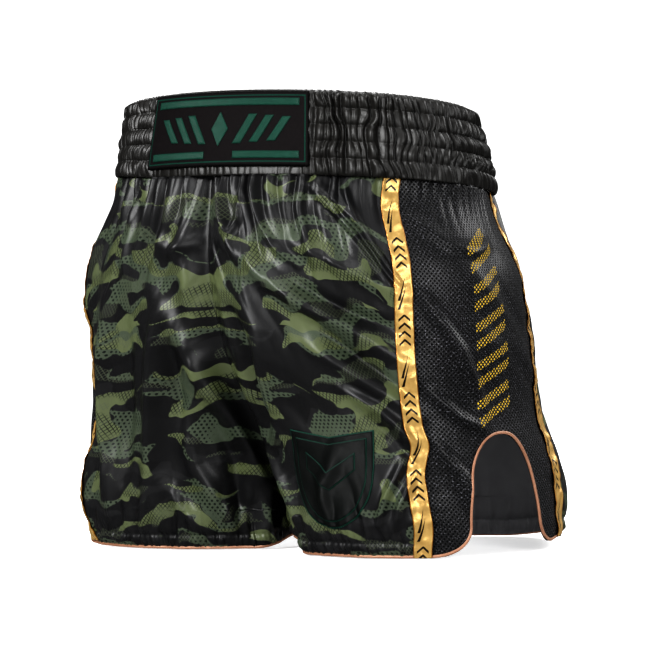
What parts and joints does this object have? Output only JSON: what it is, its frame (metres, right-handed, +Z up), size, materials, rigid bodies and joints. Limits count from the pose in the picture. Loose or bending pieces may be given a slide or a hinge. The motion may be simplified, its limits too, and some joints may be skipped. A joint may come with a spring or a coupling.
{
  "type": "boxing shorts",
  "caption": "Loose satin fight shorts with a wide shirred elastic waistband, open-mesh side panels edged in tape, bound hems and an arched slit in each side.",
  "frame": {"origin": "middle of the bounding box in X and Y, on the lowest level of the hems", "axes": "+Z up, from the hems to the waist; the wearer faces -Y; +X is the wearer's left"},
  "size_m": [0.4372, 0.2928, 0.3801],
  "materials": {
    "camo_satin": "glossy woven polyester satin with a printed camouflage",
    "black_satin": "glossy black polyester satin, shirred",
    "open_mesh": "matt black knitted mesh with diamond holes",
    "mesh_underlay": "thin black cloth with yellow printed bars",
    "gold_satin_tape": "shiny gold satin ribbon with woven black marks",
    "copper_binding": "copper-coloured satin bias binding",
    "woven_elastic": "white woven elastic, ribbed",
    "patch_cloth": "black embroidery twill",
    "green_thread": "dark green satin-stitch embroidery",
    "lining_cloth": "dark grey plain-weave lining",
    "label_ribbon": "white satin label ribbon, blank"
  },
  "bodies": {
    "root": {"care_label": "label_ribbon", "emblem_chevron": "green_thread", "emblem_shield": "patch_cloth", "left_back_hem_elastic": "woven_elastic", "left_back_hem_facing": "lining_cloth", "left_back_panel": "camo_satin", "left_back_tape": "gold_satin_tape", "left_front_hem_elastic": "woven_elastic", "left_front_hem_facing": "lining_cloth", "left_front_panel": "camo_satin", "left_front_tape": "gold_satin_tape", "left_leg_binding": "copper_binding", "left_side_mesh": "open_mesh", "left_side_underlay": "mesh_underlay", "patch_base": "patch_cloth", "patch_bottom_bar_left": "green_thread", "patch_bottom_bar_right": "green_thread", "patch_motif_left_1": "green_thread", "patch_motif_left_2": "green_thread", "patch_motif_left_3": "green_thread", "patch_motif_lozenge": "green_thread", "patch_motif_right_1": "green_thread", "patch_motif_right_2": "green_thread", "patch_motif_right_3": "green_thread", "patch_top_bar": "green_thread", "right_back_hem_elastic": "woven_elastic", "right_back_hem_facing": "lining_cloth", "right_back_panel": "camo_satin", "right_back_tape": "gold_satin_tape", "right_front_hem_elastic": "woven_elastic", "right_front_hem_facing": "lining_cloth", "right_front_panel": "camo_satin", "right_front_tape": "gold_satin_tape", "right_leg_binding": "copper_binding", "right_side_mesh": "open_mesh", "right_side_underlay": "mesh_underlay", "waist_elastic_1": "woven_elastic", "waist_elastic_2": "woven_elastic", "waist_elastic_3": "woven_elastic", "waist_elastic_4": "woven_elastic", "waist_elastic_5": "woven_elastic", "waistband_lining": "black_satin", "waistband_outer": "black_satin"}
  },
  "joints": []
}
